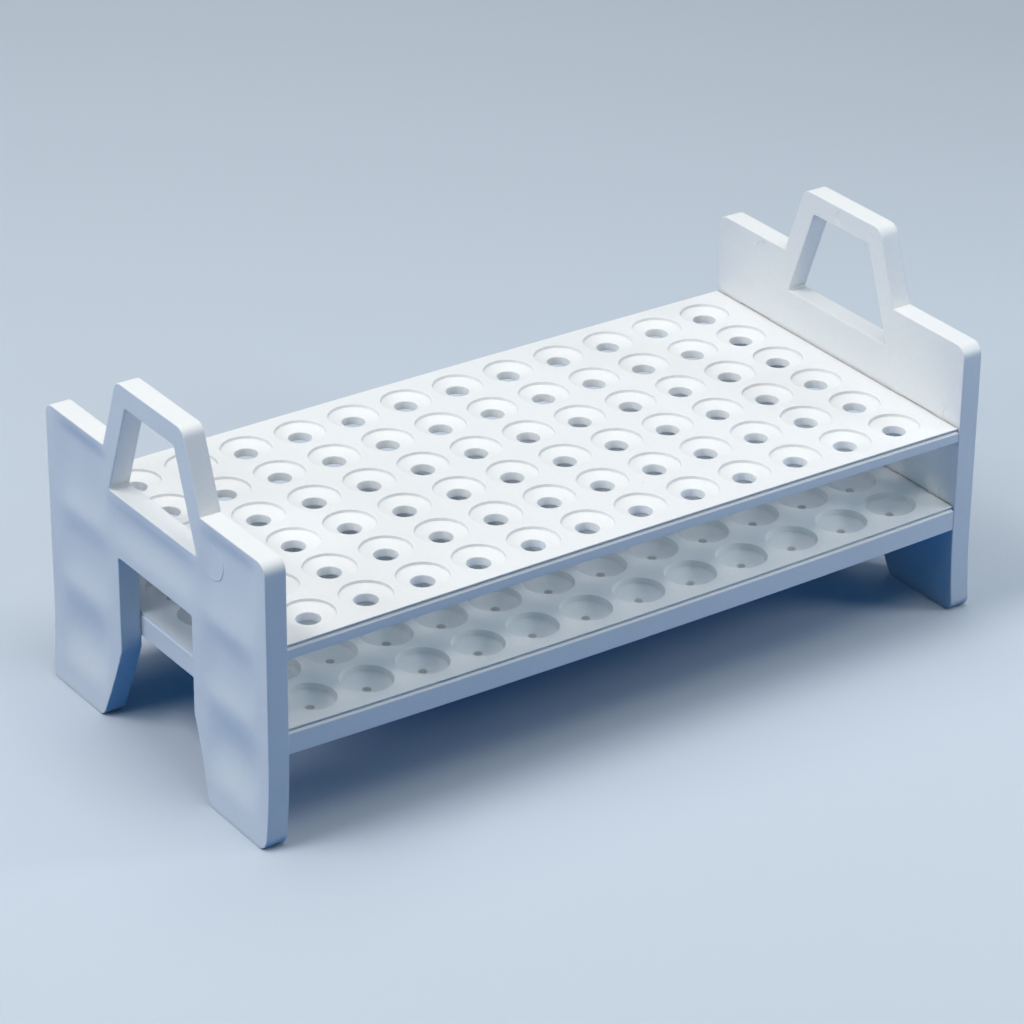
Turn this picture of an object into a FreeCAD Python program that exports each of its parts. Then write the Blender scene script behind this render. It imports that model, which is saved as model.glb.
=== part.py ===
import FreeCAD, Part
import math
import os

# Microcentrifuge tube rack: two end plates carry a top tray of funnel wells and a bottom tray of dimples.
# Frame: millimetres, +Z up, X along the rack, Y across it, origin under the middle at foot level.

# Wells: a short upright lip, a cone, and in the top tray a straight hole
PITCH = 18.0
COLUMNS = 12
ROWS = 6
WELL_R = 7.45
HOLE_R = 3.6
CONE_SLOPE = math.tan(math.radians(19.5))
TOP_LIP = 0.75
DIMPLE_LIP = 1.7

# Trays: a small step runs round each tray a little below its top
TRAY_LENGTH = 226.0
TRAY_WIDTH = 114.0
TOP_TRAY_Z = (56.4, 60.9)
BOTTOM_TRAY_Z = (28.0, 35.3)
STEP_DOWN = 1.1
STEP_IN = 0.45
END_STEP_IN = 0.3
TRAY_EDGE_BREAK = 0.2

# Tongues on the tray ends, and the blind mortises in the plates that take them
TONGUE_Y = 38.0
TONGUE_WIDTH = 14.0
TONGUE_LENGTH = 4.2
MORTISE_SIDE_GAP = 0.2
MORTISE_TOP_GAP = 0.35
MORTISE_BOTTOM_GAP = 0.1
MORTISE_DEPTH = 4.4

# End plates: legs, shoulders, and a tapering handle with a finger window
PLATE_THICK = 6.5
PLATE_HALF = 57.25
SHOULDER_Z = 85.7
HANDLE_TOP_Z = 108.0
HANDLE_FOOT_HALF = 25.4
HANDLE_TOP_HALF = 17.3
WINDOW_Z = (73.2, 101.5)
WINDOW_HALF = (22.9, 12.6)
GAP_HALF = 19.4
GAP_TOP_Z = 53.8
GAP_BREAK_Z = 24.2
GAP_FOOT_HALF = 28.5
OUTER_R = 3.6
GAP_FOOT_R = 3.2
GAP_TOP_R = 1.0
WINDOW_R = 0.6
PLATE_EDGE_BREAK = 0.4

# Below the trays the plates bow outwards towards the feet
BOW = 1.4
BOW_Z = 27.0

# Ejector marks sunk into the plate's faces: (y, z, radius)
MARK_DEPTH = 0.15
INNER_MARKS = [(0.0, 104.8, 2.4)]
OUTER_MARKS = [(28.3, 73.8, 5.6)]
CORNER_MARK_Y = 52.5
CORNER_MARK_RISE = 1.2
CORNER_MARK_R = 3.0

X_AXIS = FreeCAD.Vector(1, 0, 0)
Z_AXIS = FreeCAD.Vector(0, 0, 1)
ORIGIN = FreeCAD.Vector(0, 0, 0)


def rounded_outline(corners):
    """A face in the YZ plane from (y, z, radius) corners, where a radius of 0 leaves a corner sharp."""
    points = [FreeCAD.Vector(0, y, z) for y, z, radius in corners]
    arcs = []
    ends = []
    for i, (y, z, radius) in enumerate(corners):
        to_last = (points[i - 1] - points[i]).normalize()
        to_next = (points[(i + 1) % len(points)] - points[i]).normalize()
        half_angle = to_last.getAngle(to_next) / 2
        start = points[i] + to_last * (radius / math.tan(half_angle))
        end = points[i] + to_next * (radius / math.tan(half_angle))
        ends.append((start, end))
        if radius > 0:
            inward = (to_last + to_next).normalize()
            middle = points[i] + inward * (radius / math.sin(half_angle) - radius)
            arcs.append(Part.Arc(start, middle, end).toShape())
    lines = [Part.LineSegment(ends[i - 1][1], ends[i][0]).toShape() for i in range(len(ends))]
    return Part.Face(Part.Wire(Part.__sortEdges__(arcs + lines)))


def both_sides(half):
    """Corners for y > 0, closed by their mirror image."""
    return half + [(-y, z, radius) for y, z, radius in reversed(half)]


def plate_outline():
    """The plate seen end on: legs, feet, shoulders, handle and finger window."""
    outer = rounded_outline(both_sides([
        (GAP_HALF, GAP_TOP_Z, GAP_TOP_R),
        (GAP_HALF, GAP_BREAK_Z, 0),
        (GAP_FOOT_HALF, 0, GAP_FOOT_R),
        (PLATE_HALF, 0, OUTER_R),
        (PLATE_HALF, SHOULDER_Z, OUTER_R),
        (HANDLE_FOOT_HALF, SHOULDER_Z, 0),
        (HANDLE_TOP_HALF, HANDLE_TOP_Z, OUTER_R),
    ]))
    window = rounded_outline(both_sides([
        (WINDOW_HALF[0], WINDOW_Z[0], WINDOW_R),
        (WINDOW_HALF[1], WINDOW_Z[1], WINDOW_R),
    ]))
    return outer.cut(window)


def bowed_slab():
    """The plate's thickness: upright, with its inner face at x = 0, then bowed towards the feet."""
    bow_r = (BOW_Z ** 2 + BOW ** 2) / (2 * BOW)

    def point(offset, z):
        below = max(BOW_Z - z, 0)
        return FreeCAD.Vector(bow_r - math.sqrt((bow_r - offset) ** 2 - below ** 2), -PLATE_HALF, z)

    edges = []
    for offset in (0, PLATE_THICK):
        foot, waist, top = point(offset, 0), point(offset, BOW_Z), point(offset, HANDLE_TOP_Z)
        edges.append(Part.Arc(foot, point(offset, BOW_Z / 2), waist).toShape())
        edges.append(Part.LineSegment(waist, top).toShape())
    for z in (0, HANDLE_TOP_Z):
        edges.append(Part.LineSegment(point(0, z), point(PLATE_THICK, z)).toShape())
    profile = Part.Face(Part.Wire(Part.__sortEdges__(edges)))
    return profile.extrude(FreeCAD.Vector(0, 2 * PLATE_HALF, 0))


def is_face_edge(edge):
    """True for an edge between one of the plate's broad faces and its rim."""
    middle = edge.valueAt((edge.FirstParameter + edge.LastParameter) / 2)
    tangent = edge.tangentAt((edge.FirstParameter + edge.LastParameter) / 2)
    across = abs(tangent.x) > 0.5
    seam = abs(middle.z - BOW_Z) < 0.01 and abs(tangent.y) > 0.99
    return not across and not seam


def mortise(y, tray_z):
    """The blind pocket for one tongue."""
    width = TONGUE_WIDTH + 2 * MORTISE_SIDE_GAP
    low = tray_z[0] - MORTISE_BOTTOM_GAP
    height = tray_z[1] + MORTISE_TOP_GAP - low
    return Part.makeBox(MORTISE_DEPTH, width, height, FreeCAD.Vector(0, y - width / 2, low))


def ejector_mark(face_x, y, z, radius):
    """A shallow round recess in the face at face_x."""
    return Part.makeCylinder(radius, 2 * MARK_DEPTH, FreeCAD.Vector(face_x - MARK_DEPTH, y, z), X_AXIS)


def end_plate():
    """The right-hand end plate, with its inner face at x = 0."""
    prism = plate_outline().extrude(FreeCAD.Vector(PLATE_THICK + 2 * BOW, 0, 0))
    plate = bowed_slab().common(prism).Solids[0]
    plate = plate.makeChamfer(PLATE_EDGE_BREAK, [edge for edge in plate.Edges if is_face_edge(edge)])
    cuts = [ejector_mark(0, *spot) for spot in INNER_MARKS]
    cuts += [ejector_mark(PLATE_THICK, *spot) for spot in OUTER_MARKS]
    for tray_z in (TOP_TRAY_Z, BOTTOM_TRAY_Z):
        for side in (-1, 1):
            cuts.append(mortise(side * TONGUE_Y, tray_z))
            corner = (side * CORNER_MARK_Y, tray_z[1] + CORNER_MARK_RISE, CORNER_MARK_R)
            cuts.append(ejector_mark(0, *corner))
    return plate.cut(cuts)


def broken_block(length, width, low, top, edge_levels):
    """A block centred on the Z axis, with its horizontal edges broken at the given levels."""
    block = Part.makeBox(length, width, top - low, FreeCAD.Vector(-length / 2, -width / 2, low))
    edges = [edge for edge in block.Edges
             if any(abs(edge.BoundBox.ZMin - z) + abs(edge.BoundBox.ZMax - z) < 0.01 for z in edge_levels)]
    return block.makeChamfer(TRAY_EDGE_BREAK, edges)


def tray_blank(tray_z):
    """A tray without its wells: a stepped slab with two tongues at each end."""
    low, top = tray_z
    ledge = top - STEP_DOWN
    lower = broken_block(TRAY_LENGTH, TRAY_WIDTH, low, ledge, (low, ledge))
    upper = broken_block(TRAY_LENGTH - 2 * END_STEP_IN, TRAY_WIDTH - 2 * STEP_IN, low + STEP_DOWN, top, (top,))
    reach = TRAY_LENGTH + 2 * TONGUE_LENGTH
    tongues = [Part.makeBox(reach, TONGUE_WIDTH, top - low,
                            FreeCAD.Vector(-reach / 2, y - TONGUE_WIDTH / 2, low))
               for y in (-TONGUE_Y, TONGUE_Y)]
    return lower.fuse([upper] + tongues).removeSplitter().Solids[0]


def turned(profile):
    """The solid of a half profile of (radius, z) points, turned about the Z axis."""
    points = [FreeCAD.Vector(r, 0, z) for r, z in profile]
    return Part.Face(Part.makePolygon(points + points[:1])).revolve(ORIGIN, Z_AXIS, 360)


def funnel_well():
    """The space of one top tray well, from its mouth at z = 0 to below the tray."""
    cone_end = -TOP_LIP - (WELL_R - HOLE_R) * CONE_SLOPE
    below = TOP_TRAY_Z[0] - TOP_TRAY_Z[1] - 1
    return turned([(0, 1), (WELL_R, 1), (WELL_R, -TOP_LIP), (HOLE_R, cone_end), (HOLE_R, below), (0, below)])


def dimple():
    """The space of one bottom tray dimple, from its mouth at z = 0 to the tip of its cone."""
    return turned([(0, 1), (WELL_R, 1), (WELL_R, -DIMPLE_LIP), (0, -DIMPLE_LIP - WELL_R * CONE_SLOPE)])


def tray(tray_z, well):
    """One tray, with a well at every place of the grid."""
    wells = []
    for column in range(COLUMNS):
        for row in range(ROWS):
            x = PITCH * (column - (COLUMNS - 1) / 2)
            y = PITCH * (row - (ROWS - 1) / 2)
            wells.append(well.translated(FreeCAD.Vector(x, y, tray_z[1])))
    return tray_blank(tray_z).cut(wells)


def turned_end_plate(angle):
    """An end plate on the rack; the left one is the right one turned half a turn."""
    plate = end_plate().translated(FreeCAD.Vector(TRAY_LENGTH / 2, 0, 0))
    return plate.rotated(ORIGIN, Z_AXIS, angle)


NODES = {
    "end_plate_left": turned_end_plate(180),
    "end_plate_right": turned_end_plate(0),
    "top_tray": tray(TOP_TRAY_Z, funnel_well()),
    "bottom_tray": tray(BOTTOM_TRAY_Z, dimple()),
}

os.makedirs("parts", exist_ok=True)
for name, shape in NODES.items():
    box = shape.BoundBox
    print(f"{name}: {len(shape.Solids)} solid, valid {shape.isValid()}, volume {shape.Volume:.0f} mm3, "
          f"x {box.XMin:.2f} to {box.XMax:.2f}, y {box.YMin:.2f} to {box.YMax:.2f}, "
          f"z {box.ZMin:.2f} to {box.ZMax:.2f}")
    shape.exportStep(f"parts/{name}.step")
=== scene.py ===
import math
import bmesh
import bpy
import numpy as np
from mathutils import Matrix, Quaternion, Vector, noise
from mathutils.geometry import delaunay_2d_cdt


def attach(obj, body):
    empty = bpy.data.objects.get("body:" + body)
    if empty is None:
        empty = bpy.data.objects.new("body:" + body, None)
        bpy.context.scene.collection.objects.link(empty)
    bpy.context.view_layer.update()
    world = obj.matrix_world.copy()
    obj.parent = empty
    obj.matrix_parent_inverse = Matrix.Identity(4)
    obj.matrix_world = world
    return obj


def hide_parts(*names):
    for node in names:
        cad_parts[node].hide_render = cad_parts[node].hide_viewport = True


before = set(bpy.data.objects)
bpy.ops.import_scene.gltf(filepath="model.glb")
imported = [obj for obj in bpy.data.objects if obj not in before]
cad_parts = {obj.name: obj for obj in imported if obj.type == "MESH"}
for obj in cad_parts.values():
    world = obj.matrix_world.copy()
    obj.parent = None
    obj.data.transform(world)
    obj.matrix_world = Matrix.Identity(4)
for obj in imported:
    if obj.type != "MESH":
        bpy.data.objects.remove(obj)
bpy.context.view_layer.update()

MM = 0.001

# Camera: a long lens that looks down on the rack's near left corner
CAMERA_AT = Vector((-598.9, -851.2, 588.45)) * MM
CAMERA_LOOKS = Vector((0.5078, 0.7250, -0.4652))
CAMERA_ROLL = math.radians(0.62)
CAMERA_LENS = 145.58
CAMERA_CLIP = (0.01, 20.0)
SENSOR = 36.0

# Lamps: name, direction towards the lamp, distance and size in metres, power in watts, colour
WARM = (1.04, 0.99, 0.97)
COOL = (0.94, 1.01, 1.06)
LAMPS = [
    ("key", (-0.47, 0.11, 1.0), 1.5, 0.5, 6.85, WARM),
    ("top", (0.05, 0.25, 1.0), 1.3, 1.2, 5.3, WARM),
    ("top_front", (0.05, -0.42, 1.0), 1.3, 0.6, 3.3, WARM),
    ("side", (0.77, -0.60, 0.50), 0.6, 0.15, 0.62, COOL),
    ("left", (-1.0, 0.12, 0.55), 1.5, 0.6, 5.2, COOL),
]

# The faint light that the thin white top tray lets through, as a sheet of light under its
# front part: length, width, y and height in metres, power in watts
THROUGH = (0.222, 0.045, -0.038, 0.0558, 0.0043)
THROUGH_COLOUR = (0.85, 1.05, 1.11)

# Backdrop, linear RGB. Seen directly or in a reflection the floor is pale and fades, far out,
# to the pale world; the light that both give the rack is the blue of its shadow sides.
FLOOR_COLOUR = (0.60, 0.66, 0.74)
FLOOR_BOUNCE = (0.005, 0.12, 0.39)
FAR_COLOUR = (0.52, 0.59, 0.66)
SKY_COLOUR = (0.056, 0.122, 0.148)
FLOOR_RADIUS = 4.0
FLOOR_FADE = (0.9, 1.9)

# Plastic: colours, linear RGB, and the size in metres of each pattern's features
WHITE_PLASTIC = (0.88, 0.885, 0.89)
SPECK_COLOUR = (0.24, 0.17, 0.12)
# The colour of the painted shade, with some dust, in seams, grooves and corners
DUST_AND_SHADE_COLOUR = (0.47, 0.42, 0.38)
RUBBED_COLOUR = (0.90, 0.90, 0.90)
PLASTIC_IOR = 1.49
CLOUD_SIZE = 0.022
MOTTLE_SIZE = 0.0011
SPECK_CELLS_PER_METRE = 115.0
# How far the ambient occlusion reaches for that painted shade
SHADE_REACH = 0.0022
EDGE_REACH = 0.0005
RUBBED_PATCH_SIZE = 0.006
GRAIN_SIZE = 0.00042
SWELL_SIZE = 0.004
SCUFF_SIZE = 0.0009
SCUFF_STRETCH = (1.0, 0.08, 1.0)
SCUFF_TURN = (0.0, 0.0, 0.4)
SCUFF_PATCH_SIZE = 0.018

# Millimetres and degrees from here on, named as the solids' dimensions are.
# Wells: a lip, a cone, and then a straight hole in the top tray or a small pit in the bottom one.
PITCH = 18.0
COLUMNS = 12
ROWS = 6
WELL_R = 7.45
WELL_SIDES = 48
MOUTH_ROUND = 0.1
MOUTH_MARGIN = 0.3
CONE_SLOPE = 0.27
# The lips: (depth, how far they slope inwards)
TOP_LIP = (0.85, 0.12)
DIMPLE_LIP = (1.75, 0.45)
TOP_LIP_ROUND = 0.12
DIMPLE_LIP_ROUND = 0.25
HOLE_R = 3.42
HOLE_TAPER = 0.3
HOLE_ROUND = (0.3, 0.2)
HOLE_MARGIN = 0.2
PIT_RADIUS = 1.3
PIT_TAPER = 0.1
PIT_DEPTH = 1.2
PIT_ROUND = (0.15, 0.4)

# Trays
TRAY_LENGTH = 226.0
TRAY_WIDTH = 114.0
TRAY_STRETCH = 9.2
TOP_TRAY_Z = (56.6, 60.9)
BOTTOM_TRAY_Z = (27.7, 35.3)
# The long edges from top to bottom: (inset, depth, radius). A ledge and a thin groove run along
# under the top; the ends follow the insets no further than END_STEP_IN.
END_STEP_IN = 0.3
TOP_TRAY_EDGE = [
    (0.8, 0, 0), (0.35, 0, 0.08), (0.35, 0.45, 0), (1.2, 0.65, 0), (0.42, 0.87, 0),
    (0.38, 1.1, 0), (0, 1.5, 0.3), (0, 4.3, 0.2), (0.4, 4.3, 0),
]
BOTTOM_TRAY_EDGE = [
    (1.0, 0, 0), (0.45, 0, 0.06), (0.45, 0.35, 0), (1.4, 0.55, 0), (0.5, 0.76, 0),
    (0.48, 1.0, 0), (0, 1.4, 0.35), (0, 7.6, 0.2), (0.4, 7.6, 0),
]
# How far each tray has warped off its true height: (in the middle, at the ends)
TOP_TRAY_BOW = (-0.10, -0.60)
BOTTOM_TRAY_BOW = (-1.3, -0.15)
TONGUE_Y = 38.0
TONGUE_WIDTH = 14.0
TONGUE_LENGTH = 4.2

# End plates: a straight upper part and legs that bow outwards below BOW_Z
PLATE_THICK = 6.5
PLATE_HALF = 57.25
SHOULDER_Z = 85.7
HANDLE_TOP_Z = 108.0
HANDLE_FOOT_HALF = 25.4
HANDLE_TOP_HALF = 17.3
WINDOW_Z = (73.2, 101.5)
WINDOW_HALF = (22.9, 12.6)
GAP_HALF = 19.4
GAP_TOP_Z = 53.8
GAP_BREAK_Z = 24.2
GAP_FOOT_HALF = 28.5
OUTER_R = 3.6
GAP_FOOT_R = 3.2
GAP_TOP_R = 1.0
WINDOW_R = 0.6
PLATE_ROUND = 0.3
BOW = 1.4
BOW_Z = 27.0
BOW_R = (BOW_Z ** 2 + BOW ** 2) / (2 * BOW)
RIM_STRETCH = 1.5
FACE_SPACING = 1.7

# The pockets in the plates that take the trays' tongues
MORTISE_SIDE_GAP = 0.2
MORTISE_TOP_GAP = 0.35
MORTISE_BOTTOM_GAP = 0.1
MORTISE_DEPTH = 4.4
MORTISE_STRETCH = 2.0

# Ejector marks: (y, z, radius, depth, tilt). A negative depth stands out from the face; tilt is
# the direction in which the mark deepens, or None for an even one.
MARK_WALL = 0.1
MARK_LEAN = 0.35
INNER_MARKS = [(0.0, 104.8, 2.3, 0.15, None), (36.0, 81.5, 2.8, 0.10, (1.0, 0.4))]
OUTER_MARKS = [(29.6, 74.2, 5.2, -0.13, (0.85, -0.5))]
CORNER_MARK_DEPTH = 0.12
CORNER_MARK_Y = 52.5
CORNER_MARK_RISE = 1.2
CORNER_MARK_R = 3.0

# Sink in the plates' faces, where the thick wall shrank between its edges and the tongues:
# (y, z, half width, reach up, reach down, how flat its upper and its lower end is, depth)
OUTER_SINKS = [
    (38.5, 78.5, 15.5, 7.5, 21.5, 2, 4, 1.15),
    (-38.0, 78.8, 15.5, 7.3, 21.5, 2, 4, 1.25),
    (38.0, 47.8, 15.0, 10.0, 14.0, 2, 3, 1.20),
    (-37.5, 47.5, 15.5, 10.5, 14.0, 2, 3, 1.25),
    (39.5, 20.0, 14.5, 14.0, 13.5, 2, 2, 1.55),
    (-39.5, 19.5, 14.0, 14.0, 13.0, 2, 2, 1.50),
    (0.0, 65.6, 27.0, 7.6, 9.5, 2, 2, 1.10),
]
INNER_SINKS = [
    (41.0, 15.0, 12.0, 9.0, 10.0, 2, 2, 0.45),
    (-41.0, 15.0, 12.0, 9.0, 10.0, 2, 2, 0.45),
]
# Within SINK_RIM of an edge the face rises back to its true plane
SINK_RIM = 3.8
WAVE_LENGTH = 13.0
WAVE_HEIGHT = 0.04

# Meshes: degrees to a step of a rounded corner; the grid that fills a face, as shares of its
# spacing; the angle above which an edge is sharp; and welding, in metres
OUTLINE_TURN = 13.0
PROFILE_TURN = 24.0
GRID_ROW = 0.866
GRID_MARGIN = 0.55
FILL_TOLERANCE = 1e-6
SHARP_ANGLE = math.radians(38)
WELD = 1e-6
DEGENERATE = 1e-7


def make_camera():
    """The photograph's viewing angle, with no shift and no depth of field."""
    data = bpy.data.cameras.new("camera")
    data.lens = CAMERA_LENS
    data.sensor_width = SENSOR
    data.clip_start, data.clip_end = CAMERA_CLIP
    camera = bpy.data.objects.new("camera", data)
    camera.location = CAMERA_AT
    camera.rotation_mode = "QUATERNION"
    roll = Quaternion((0, 0, 1), CAMERA_ROLL)
    camera.rotation_quaternion = CAMERA_LOOKS.to_track_quat("-Z", "Y") @ roll
    bpy.context.scene.collection.objects.link(camera)
    bpy.context.scene.camera = camera


class Nodes:
    """A short way to write a node tree."""

    def __init__(self, tree):
        self.tree = tree
        self.tree.nodes.clear()

    def add(self, kind, settings=None, **inputs):
        """A node; an underscore in an input's name stands for a space."""
        node = self.tree.nodes.new(kind)
        for key, value in (settings or {}).items():
            setattr(node, key, value)
        for key, value in inputs.items():
            self.feed(node, key.replace("_", " "), value)
        return node

    def feed(self, node, socket, value):
        """Link or set an input, by its name or its number as text."""
        target = node.inputs[int(socket) if socket.isdigit() else socket]
        if isinstance(value, bpy.types.NodeSocket):
            self.tree.links.new(value, target)
        else:
            target.default_value = value

    def math(self, operation, *values):
        node = self.add("ShaderNodeMath", {"operation": operation})
        for i, value in enumerate(values):
            self.feed(node, str(i), value)
        return node.outputs[0]

    def times(self, one, other):
        return self.math("MULTIPLY", one, other)

    def span(self, value, low, high, to_low=0.0, to_high=1.0):
        """value from low to high becomes to_low to to_high, smoothly and no further."""
        node = self.add("ShaderNodeMapRange", {"interpolation_type": "SMOOTHSTEP"}, Value=value)
        ends = {"From Min": low, "From Max": high, "To Min": to_low, "To Max": to_high}
        for socket, number in ends.items():
            self.feed(node, socket, number)
        return node.outputs[0]

    def mix(self, factor, one, other):
        node = self.add("ShaderNodeMix", {"data_type": "RGBA"})
        for socket, value in (("0", factor), ("6", one), ("7", other)):
            self.feed(node, socket, (*value, 1) if isinstance(value, tuple) else value)
        return node.outputs[2]

    def noise(self, place, size, detail=2.0, roughness=0.5):
        """Noise whose features are about size metres across."""
        node = self.add("ShaderNodeTexNoise", Vector=place, Scale=1 / size,
                        Detail=detail, Roughness=roughness)
        return node.outputs["Fac"]

    def seen(self):
        """1 for rays that see a backdrop as it is painted, 0 for those that light the rack."""
        path = self.add("ShaderNodeLightPath")
        direct = self.math("MAXIMUM", path.outputs["Is Camera Ray"], path.outputs["Is Glossy Ray"])
        return self.math("MAXIMUM", direct, path.outputs["Is Transmission Ray"])

    def finish(self, shader, kind="ShaderNodeOutputMaterial"):
        self.tree.links.new(shader, self.add(kind).inputs[0])


def new_material(name):
    """An empty node material and the writer of its nodes."""
    material = bpy.data.materials.new(name)
    material.use_nodes = True
    return material, Nodes(material.node_tree)


def shaded(colour, share):
    return tuple(channel * share for channel in colour)


def plastic(name, shift, colour, grain, roughness):
    """Satin moulded plastic: clouding, specks, painted shade with some dust in seams, rubbed
    edges, fine grain and scuffs.

    shift moves the patterns, and grain is the height of the finest one in metres.
    """
    material, nodes = new_material(name)
    coord = nodes.add("ShaderNodeTexCoord").outputs["Object"]
    place = nodes.add("ShaderNodeMapping", Vector=coord, Location=shift).outputs[0]

    # Clouding and mottle
    cloud = nodes.noise(place, CLOUD_SIZE, 3.0, 0.55)
    mottle = nodes.noise(place, MOTTLE_SIZE, 2.0, 0.6)
    base = nodes.mix(nodes.span(cloud, 0.38, 0.64, 0.0, 0.55), colour, shaded(colour, 0.965))
    base = nodes.mix(nodes.span(mottle, 0.35, 0.65, 0.0, 0.4), base, shaded(colour, 0.95))

    # Dark specks, in some of the cells
    cells = nodes.add("ShaderNodeTexVoronoi", Vector=place, Scale=SPECK_CELLS_PER_METRE)
    draw = nodes.add("ShaderNodeSeparateColor", Color=cells.outputs["Color"]).outputs[0]
    speck = nodes.times(nodes.span(cells.outputs["Distance"], 0.016, 0.028, 1.0, 0.0),
                        nodes.span(draw, 0.4, 0.45))
    base = nodes.mix(nodes.times(speck, 0.5), base, SPECK_COLOUR)

    # Painted shade, with some dust, in seams, grooves and corners: ambient occlusion darkens the
    # colour where shade falls
    occlusion = nodes.add("ShaderNodeAmbientOcclusion", {"samples": 6}, Distance=SHADE_REACH)
    dust_and_shade = nodes.times(nodes.span(occlusion.outputs["AO"], 0.3, 0.93, 0.5, 0.0),
                       nodes.span(mottle, 0.25, 0.6, 0.7, 1.0))
    base = nodes.mix(dust_and_shade, base, DUST_AND_SHADE_COLOUR)

    # Patches of rubbed edge, where the bevelled normal leaves the flat one
    bevelled = nodes.add("ShaderNodeBevel", {"samples": 4}, Radius=EDGE_REACH).outputs[0]
    flat = nodes.add("ShaderNodeNewGeometry").outputs["Normal"]
    along = nodes.add("ShaderNodeVectorMath", {"operation": "DOT_PRODUCT"},
                      **{"0": bevelled, "1": flat})
    rubbed = nodes.times(nodes.span(along.outputs["Value"], 0.995, 0.9, 0.0, 1.0),
                         nodes.span(nodes.noise(place, RUBBED_PATCH_SIZE, 2.0), 0.35, 0.6))
    base = nodes.mix(nodes.times(rubbed, 0.35), base, RUBBED_COLOUR)

    # Fine grain and, in patches, long scuffs
    fine = nodes.noise(place, GRAIN_SIZE, 2.0, 0.65)
    stretched = nodes.add("ShaderNodeMapping", Vector=place, Scale=SCUFF_STRETCH,
                          Rotation=SCUFF_TURN).outputs[0]
    streaks = nodes.noise(stretched, SCUFF_SIZE, 3.0, 0.7)
    scuff = nodes.times(nodes.span(streaks, 0.62, 0.72),
                        nodes.span(nodes.noise(place, SCUFF_PATCH_SIZE, 1.0), 0.5, 0.7))

    rough = nodes.math("ADD", nodes.span(cloud, 0.3, 0.7, roughness - 0.04, roughness + 0.05),
                       nodes.times(fine, 0.06))
    rough = nodes.math("SUBTRACT", rough, nodes.times(rubbed, 0.08))
    rough = nodes.math("ADD", rough, nodes.times(scuff, 0.08))

    height = nodes.math("ADD", nodes.times(fine, grain),
                        nodes.times(nodes.noise(place, SWELL_SIZE, 2.0), grain * 0.8))
    height = nodes.math("SUBTRACT", height, nodes.times(scuff, grain * 0.3))
    bump = nodes.add("ShaderNodeBump", Strength=1.0, Distance=1.0, Height=height).outputs[0]

    shader = nodes.add("ShaderNodeBsdfPrincipled", Base_Color=base, Roughness=rough,
                       IOR=PLASTIC_IOR, Normal=bump)
    nodes.finish(shader.outputs[0])
    return material


def floor_material():
    """Pale where it is seen, and a deeper blue where its light falls back on the rack."""
    material, nodes = new_material("floor")
    seen = nodes.seen()
    colour = nodes.mix(seen, FLOOR_BOUNCE, FLOOR_COLOUR)
    near = nodes.add("ShaderNodeBsdfDiffuse", Color=colour).outputs[0]
    place = nodes.add("ShaderNodeTexCoord").outputs["Object"]
    distance = nodes.add("ShaderNodeVectorMath", {"operation": "LENGTH"}, Vector=place)
    fade = nodes.times(nodes.span(distance.outputs["Value"], *FLOOR_FADE), seen)
    far = nodes.add("ShaderNodeEmission", Color=(*FAR_COLOUR, 1)).outputs[0]
    both = nodes.add("ShaderNodeMixShader", **{"0": fade, "1": near, "2": far})
    nodes.finish(both.outputs[0])
    return material


def make_floor():
    bpy.ops.mesh.primitive_circle_add(vertices=96, radius=FLOOR_RADIUS, fill_type="NGON",
                                      location=(0, 0, 0))
    floor = bpy.context.object
    floor.name = "floor"
    floor.data.materials.append(floor_material())


def make_world():
    """The backdrop's pale colour where it is seen, and a dim blue-green sky for the rack."""
    world = bpy.data.worlds.new("world")
    bpy.context.scene.world = world
    world.use_nodes = True
    nodes = Nodes(world.node_tree)
    colour = nodes.mix(nodes.seen(), SKY_COLOUR, FAR_COLOUR)
    background = nodes.add("ShaderNodeBackground", Color=colour, Strength=1.0)
    nodes.finish(background.outputs[0], "ShaderNodeOutputWorld")


def area_lamp(name, shape, size, power, colour):
    data = bpy.data.lights.new(name, "AREA")
    data.shape = shape
    data.size = size
    data.energy = power
    data.color = colour
    lamp = bpy.data.objects.new(name, data)
    bpy.context.scene.collection.objects.link(lamp)
    return lamp


def make_lamp(name, towards, distance, size, power, colour):
    """A round lamp that shines on the middle of the floor."""
    lamp = area_lamp(name, "DISK", size, power, colour)
    direction = Vector(towards).normalized()
    lamp.location = direction * distance
    lamp.rotation_euler = (-direction).to_track_quat("-Z", "Y").to_euler()


def make_through():
    """The sheet of light under the top tray, which neither the camera nor reflections see."""
    length, width, y, height, power = THROUGH
    lamp = area_lamp("through", "RECTANGLE", length, power, THROUGH_COLOUR)
    lamp.data.size_y = width
    lamp.location = (0, y, height)
    lamp.visible_camera = False
    lamp.visible_glossy = False


def arc(centre, radius, start, sweep, steps):
    """Points of an arc, ends included."""
    angles = [start + sweep * k / steps for k in range(steps + 1)]
    return [(centre[0] + radius * math.cos(a), centre[1] + radius * math.sin(a)) for a in angles]


def rounded(corners, closed=True, turn=OUTLINE_TURN):
    """Points along (u, v, radius) corners, rounded; the ends of an open line stay as they are."""
    points = []
    for i, (u, v, radius) in enumerate(corners):
        if radius == 0 or (not closed and i in (0, len(corners) - 1)):
            points.append((u, v))
            continue
        spot = Vector((u, v))
        back = (Vector(corners[i - 1][:2]) - spot).normalized()
        ahead = (Vector(corners[(i + 1) % len(corners)][:2]) - spot).normalized()
        half = back.angle(ahead) / 2
        centre = spot + (back + ahead).normalized() * (radius / math.sin(half))
        first = spot + back * (radius / math.tan(half)) - centre
        last = spot + ahead * (radius / math.tan(half)) - centre
        sweep = math.atan2(first.x * last.y - first.y * last.x, first.dot(last))
        steps = max(2, round(abs(math.degrees(sweep)) / turn))
        points += arc(centre, radius, math.atan2(first.y, first.x), sweep, steps)
    return points


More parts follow.
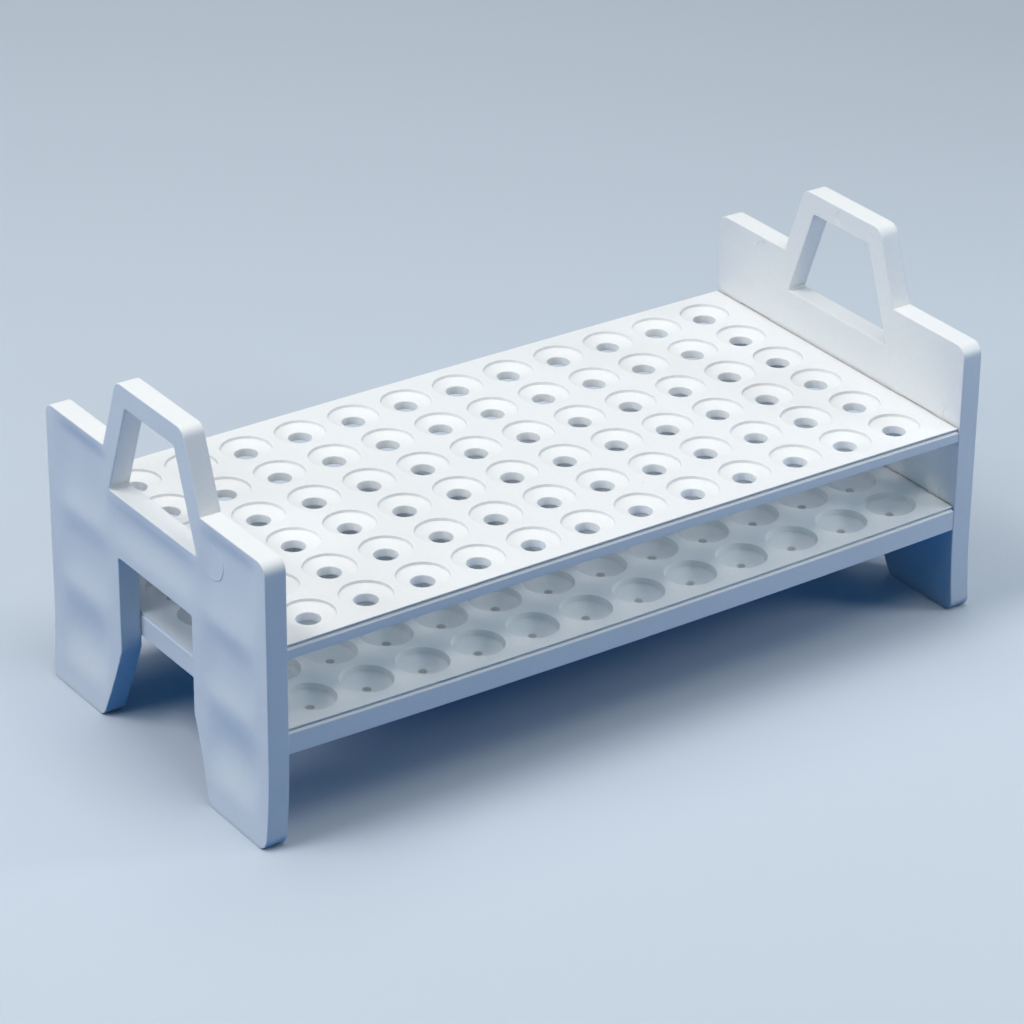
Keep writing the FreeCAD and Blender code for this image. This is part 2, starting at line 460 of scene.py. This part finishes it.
def divided(loop, longest):
    """The loop with points added so that no stretch is longer than longest."""
    out = []
    for i, here in enumerate(loop):
        after = loop[(i + 1) % len(loop)]
        parts = max(1, math.ceil(math.dist(here, after) / longest - 0.01))
        out += [tuple(np.add(here, np.subtract(after, here) * k / parts)) for k in range(parts)]
    return out


def inset(loop, distance):
    """The loop moved to its left: into the solid for an anticlockwise rim or a clockwise hole."""
    points = np.array(loop)
    ahead = np.roll(points, -1, axis=0) - points
    ahead /= np.linalg.norm(ahead, axis=1)[:, None]
    left = np.c_[-ahead[:, 1], ahead[:, 0]]
    before = np.roll(left, 1, axis=0)
    scale = 1 + (left * before).sum(axis=1)
    return (points + distance * (left + before) / scale[:, None]).tolist()


def circle(u, v, radius, sides=WELL_SIDES):
    """A clockwise circle."""
    angles = [2 * math.pi * k / sides for k in range(sides)]
    return [(u + radius * math.cos(a), v - radius * math.sin(a)) for a in angles]


def segments(loops):
    """The loops' stretches, each as its two ends."""
    ends = [np.stack([np.array(loop), np.roll(np.array(loop), -1, axis=0)], axis=1)
            for loop in loops]
    return np.concatenate(ends)


def inside(points, loops):
    """True for each point that an odd number of the loops is round."""
    lines = segments(loops)
    x, y = points[:, 0, None], points[:, 1, None]
    x0, y0, x1, y1 = lines[:, 0, 0], lines[:, 0, 1], lines[:, 1, 0], lines[:, 1, 1]
    spans = (y0 > y) != (y1 > y)
    rise = np.where(y1 == y0, 1.0, y1 - y0)
    crosses = x < x0 + (y - y0) * (x1 - x0) / rise
    return (spans & crosses).sum(axis=1) % 2 == 1


def clearance(points, loops):
    """Each point's distance from the nearest of the loops."""
    lines = segments(loops)
    start, along = lines[:, 0], lines[:, 1] - lines[:, 0]
    to_point = points[:, None, :] - start[None]
    share = np.clip((to_point * along).sum(axis=2) / (along ** 2).sum(axis=1), 0, 1)
    return np.linalg.norm(to_point - share[..., None] * along, axis=2).min(axis=1)


def triangle_grid(rim, spacing):
    """Points of a grid of even triangles over the rim's box."""
    low, high = np.min(rim, axis=0), np.max(rim, axis=0)
    rows = np.arange(low[1], high[1], spacing * GRID_ROW)
    columns = np.arange(low[0], high[0], spacing)
    return np.array([(u + spacing / 2 * (row % 2), v) for row, v in enumerate(rows)
                     for u in columns])


def filled(rim, holes=(), lines=(), spacing=None):
    """Points and triangles that fill the rim but not its holes, with edges along the lines.

    spacing is that of a grid of points in between, if there is to be one.
    """
    loops = [rim, *holes, *lines]
    points = [Vector(point) for loop in loops for point in loop]
    edges = []
    for loop in loops:
        start = len(edges)
        edges += [(start + k, start + (k + 1) % len(loop)) for k in range(len(loop))]
    if spacing:
        grid = triangle_grid(rim, spacing)
        grid = grid[inside(grid, [rim, *holes])]
        grid = grid[clearance(grid, loops) > spacing * GRID_MARGIN]
        points += [Vector(point) for point in grid]
    spots, _, triangles, *_ = delaunay_2d_cdt(points, edges, [], 0, FILL_TOLERANCE, False)
    spots = np.array([spot[:] for spot in spots])
    triangles = np.array(triangles)
    return spots, triangles[inside(spots[triangles].mean(axis=1), [rim, *holes])]


class Shell:
    """Faces gathered in millimetres and welded into one mesh."""

    def __init__(self):
        self.points = []
        self.faces = []

    def patch(self, points, faces):
        start = len(self.points)
        self.points += [tuple(point) for point in points]
        self.faces += [tuple(int(start + k) for k in face) for face in faces]

    def strips(self, loops):
        """Quads between each closed loop and the next."""
        count = len(loops[0])
        quads = [(row * count + k, row * count + (k + 1) % count,
                  (row + 1) * count + (k + 1) % count, (row + 1) * count + k)
                 for row in range(len(loops) - 1) for k in range(count)]
        self.patch([point for loop in loops for point in loop], quads)

    def build(self, name, material, node, turn=0.0):
        """The piece that takes the node's place, turned about Z."""
        mesh = bpy.data.meshes.new(name)
        mesh.from_pydata([Vector(point) * MM for point in self.points], [], self.faces)
        shape = bmesh.new()
        shape.from_mesh(mesh)
        bmesh.ops.remove_doubles(shape, verts=shape.verts, dist=WELD)
        bmesh.ops.dissolve_degenerate(shape, edges=shape.edges, dist=DEGENERATE)
        turned = Quaternion((0, 0, 1), turn).to_matrix()
        bmesh.ops.rotate(shape, verts=shape.verts, matrix=turned)
        bmesh.ops.recalc_face_normals(shape, faces=shape.faces)
        for face in shape.faces:
            face.smooth = True
        for edge in shape.edges:
            edge.smooth = len(edge.link_faces) == 2 and edge.calc_face_angle() < SHARP_ANGLE
        shape.to_mesh(mesh)
        shape.free()
        mesh.materials.append(material)
        piece = bpy.data.objects.new(name, mesh)
        bpy.context.scene.collection.objects.link(piece)
        weights = piece.modifiers.new("weights", "WEIGHTED_NORMAL")
        weights.keep_sharp = True
        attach(piece, "root")
        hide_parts(node)


def round_over(radius, steps=4):
    """(inset, depth) of a rounded edge, from the face to the rim."""
    angles = [math.pi / 2 * k / steps for k in range(steps + 1)]
    return [(radius * (1 - math.sin(a)), radius * (1 - math.cos(a))) for a in angles]


def slab_x(depth, z):
    """How far out a point lies that is depth mm into the plate from its inner face."""
    below = max(BOW_Z - z, 0)
    return BOW_R - math.sqrt((BOW_R - depth) ** 2 - below ** 2)


def both_sides(half):
    """The corners of one side, and then those of the other, mirrored."""
    return half + [(-y, z, radius) for y, z, radius in reversed(half)]


def plate_loops():
    """The plate's rim, anticlockwise, and its finger window, clockwise."""
    rim = rounded(both_sides([
        (GAP_HALF, GAP_TOP_Z, GAP_TOP_R),
        (GAP_HALF, GAP_BREAK_Z, 0),
        (GAP_FOOT_HALF, 0, GAP_FOOT_R),
        (PLATE_HALF, 0, OUTER_R),
        (PLATE_HALF, SHOULDER_Z, OUTER_R),
        (HANDLE_FOOT_HALF, SHOULDER_Z, 0),
        (HANDLE_TOP_HALF, HANDLE_TOP_Z, OUTER_R),
    ]))
    window = rounded(both_sides([
        (WINDOW_HALF[0], WINDOW_Z[0], WINDOW_R),
        (WINDOW_HALF[1], WINDOW_Z[1], WINDOW_R),
    ]))
    return divided(rim, RIM_STRETCH), divided(window[::-1], RIM_STRETCH)


def sink(y, z, sinks):
    """How deep a face has sunk at (y, z), away from its edges."""
    total = 0
    for at_y, at_z, half_width, up, down, flat_up, flat_down, depth in sinks:
        across = abs(y - at_y) / half_width
        along, flat = ((z - at_z) / up, flat_up) if z > at_z else ((at_z - z) / down, flat_down)
        if across < 1 and along < 1:
            total += depth * (1 - across ** 4) ** 2 * (1 - along ** flat) ** 2
    return total


def ripple(y, z, seed):
    """A faint unevenness of the moulded face, between 0 and twice WAVE_HEIGHT."""
    return WAVE_HEIGHT * (1 + noise.noise(Vector((y / WAVE_LENGTH, z / WAVE_LENGTH, seed))))


def mark_depth(y, z, marks):
    """How deep the ejector marks press into a face at (y, z)."""
    total = 0
    for at_y, at_z, radius, depth, tilt in marks:
        off_y, off_z = y - at_y, z - at_z
        if math.hypot(off_y, off_z) < radius - MARK_WALL / 2:
            lean = 1.0
            if tilt is not None:
                lean = max(0.0, MARK_LEAN + (off_y * tilt[0] + off_z * tilt[1]) / radius)
            total += depth * lean
    return total


def plate_face(shell, outer, rims, marks, holes, seed):
    """One broad face of the plate, sunk away from its edges, with its ejector marks."""
    lines = [circle(y, z, radius - inwards) for y, z, radius, *_ in marks
             for inwards in (0, MARK_WALL)]
    spots, triangles = filled(rims[0], [rims[1], *holes], lines, FACE_SPACING)
    edge = np.clip(clearance(spots, [*rims, *holes]) / SINK_RIM, 0, 1)
    fade = edge ** 2 * (3 - 2 * edge)
    sinks = OUTER_SINKS if outer else INNER_SINKS
    points = []
    for (y, z), share in zip(spots, fade):
        depth = share * (ripple(y, z, seed) + sink(y, z, sinks)) + mark_depth(y, z, marks)
        points.append((slab_x(PLATE_THICK - depth if outer else depth, z), y, z))
    shell.patch(points, triangles)


def mortise(y, tray_z, drop):
    """The clockwise mouth of the blind pocket for one tongue."""
    half = TONGUE_WIDTH / 2 + MORTISE_SIDE_GAP
    low = tray_z[0] - MORTISE_BOTTOM_GAP + drop
    high = tray_z[1] + MORTISE_TOP_GAP + drop
    corners = [(y - half, low), (y - half, high), (y + half, high), (y + half, low)]
    return divided(corners, MORTISE_STRETCH)


def end_plate(name, node, material, turn, seed):
    """An end plate, turned by half a turn for the left-hand one; seed sets its faces' ripple."""
    shell = Shell()
    rim, window = plate_loops()
    profile = round_over(PLATE_ROUND)
    profile += [(inwards, PLATE_THICK - depth) for inwards, depth in reversed(profile)]
    for loop in (rim, window):
        shell.strips([[(slab_x(depth, z), y, z) for y, z in inset(loop, inwards)]
                      for inwards, depth in profile])
    faces = [inset(rim, PLATE_ROUND), inset(window, PLATE_ROUND)]
    pockets = [mortise(side * TONGUE_Y, tray_z, bow[1]) for side in (-1, 1)
               for tray_z, bow in ((TOP_TRAY_Z, TOP_TRAY_BOW), (BOTTOM_TRAY_Z, BOTTOM_TRAY_BOW))]
    corner_marks = [(side * CORNER_MARK_Y, tray_z[1] + CORNER_MARK_RISE,
                     CORNER_MARK_R, CORNER_MARK_DEPTH, None)
                    for tray_z in (TOP_TRAY_Z, BOTTOM_TRAY_Z) for side in (-1, 1)]
    plate_face(shell, True, faces, OUTER_MARKS, [], seed)
    plate_face(shell, False, faces, INNER_MARKS + corner_marks, pockets, seed + 5)
    for mouth in pockets:
        shell.strips([[(depth, y, z) for y, z in mouth] for depth in (0, MORTISE_DEPTH)])
        spots, triangles = filled(mouth)
        shell.patch([(MORTISE_DEPTH, y, z) for y, z in spots], triangles)
    shell.points = [(x + TRAY_LENGTH / 2, y, z) for x, y, z in shell.points]
    shell.build(name, material, node, turn)


def tray_loop(inwards):
    """A tray's outline with its tongues, anticlockwise, with the long edges moved inwards."""
    half_x = TRAY_LENGTH / 2 - min(inwards, END_STEP_IN)
    half_y = TRAY_WIDTH / 2 - inwards
    reach = TRAY_LENGTH / 2 + TONGUE_LENGTH
    low, high = TONGUE_Y - TONGUE_WIDTH / 2, TONGUE_Y + TONGUE_WIDTH / 2
    right = [(half_x, -half_y), (half_x, -high), (reach, -high), (reach, -low), (half_x, -low),
             (half_x, low), (reach, low), (reach, high), (half_x, high), (half_x, half_y)]
    return divided(right + [(-x, -y) for x, y in right], TRAY_STRETCH)


def level(loop, z):
    return [(x, y, z) for x, y in loop]


def revolved(shell, x, y, profile):
    """The wall of one well, from (radius, z) points; a last radius of 0 closes it."""
    rings = [level(circle(x, y, radius), z) for radius, z in profile if radius > 0]
    shell.strips(rings)
    last_radius, tip = profile[-1]
    if last_radius == 0:
        count = len(rings[-1])
        fan = [(k, (k + 1) % count, count) for k in range(count)]
        shell.patch([*rings[-1], (x, y, tip)], fan)


def tray(name, node, material, tray_z, edge, bow, profile):
    """A tray with a well at every place of the grid; edge and profile both start at its top."""
    shell = Shell()
    low, top = tray_z
    edge = rounded(edge, False, PROFILE_TURN)
    shell.strips([level(tray_loop(inwards), top - depth) for inwards, depth in edge])
    places = [(PITCH * (column - (COLUMNS - 1) / 2), PITCH * (row - (ROWS - 1) / 2))
              for column in range(COLUMNS) for row in range(ROWS)]
    for x, y in places:
        revolved(shell, x, y, profile)
    for end, z in ((0, top), (-1, low)):
        inwards, radius = edge[end][0], profile[end][0]
        holes = [circle(x, y, radius) for x, y in places] if radius else []
        spots, triangles = filled(tray_loop(inwards), holes)
        shell.patch(level(spots, z), triangles)
    middle, ends = bow
    shell.points = [(x, y, z + middle + (ends - middle) * (2 * x / TRAY_LENGTH) ** 2)
                    for x, y, z in shell.points]
    shell.build(name, material, node)


def well_profile(top, lip, lip_round, below):
    """From the flat round a well's mouth down its lip; below goes on from there."""
    mouth = [(WELL_R + MOUTH_MARGIN, top, 0), (WELL_R, top, MOUTH_ROUND)]
    shoulder = [(WELL_R - lip[1], top - lip[0], lip_round)]
    return rounded(mouth + shoulder + below, False, PROFILE_TURN)


def cone_end(top, lip, radius):
    """The height at which the cone below the lip has come in to the radius."""
    return top - lip[0] - (WELL_R - lip[1] - radius) * CONE_SLOPE


def funnel_profile():
    """A well of the top tray: the lip, the cone and the hole right through."""
    low, top = TOP_TRAY_Z
    return well_profile(top, TOP_LIP, TOP_LIP_ROUND, [
        (HOLE_R, cone_end(top, TOP_LIP, HOLE_R), HOLE_ROUND[0]),
        (HOLE_R - HOLE_TAPER, low, HOLE_ROUND[1]),
        (HOLE_R + HOLE_MARGIN, low, 0),
    ])


def dimple_profile():
    """A dimple of the bottom tray: the lip, the cone and a small round pit."""
    top = BOTTOM_TRAY_Z[1]
    pit = cone_end(top, DIMPLE_LIP, PIT_RADIUS)
    return well_profile(top, DIMPLE_LIP, DIMPLE_LIP_ROUND, [
        (PIT_RADIUS, pit, PIT_ROUND[0]),
        (PIT_RADIUS - PIT_TAPER, pit - PIT_DEPTH, PIT_ROUND[1]),
        (0, pit - PIT_DEPTH, 0),
    ])


make_camera()
make_world()
make_floor()
for lamp in LAMPS:
    make_lamp(*lamp)
make_through()

plate_plastic = plastic("plate_plastic", (0.31, 0.12, 0.07), WHITE_PLASTIC, 0.000028, 0.44)
tray_plastic = plastic("tray_plastic", (0.05, 0.27, 0.19), WHITE_PLASTIC, 0.000022, 0.42)
end_plate("end_plate_right_moulding", "end_plate_right", plate_plastic, 0.0, 3.0)
end_plate("end_plate_left_moulding", "end_plate_left", plate_plastic, math.pi, 17.0)
tray("top_tray_moulding", "top_tray", tray_plastic,
     TOP_TRAY_Z, TOP_TRAY_EDGE, TOP_TRAY_BOW, funnel_profile())
tray("bottom_tray_moulding", "bottom_tray", tray_plastic,
     BOTTOM_TRAY_Z, BOTTOM_TRAY_EDGE, BOTTOM_TRAY_BOW, dimple_profile())
bpy.context.scene.view_settings.view_transform = "Standard"
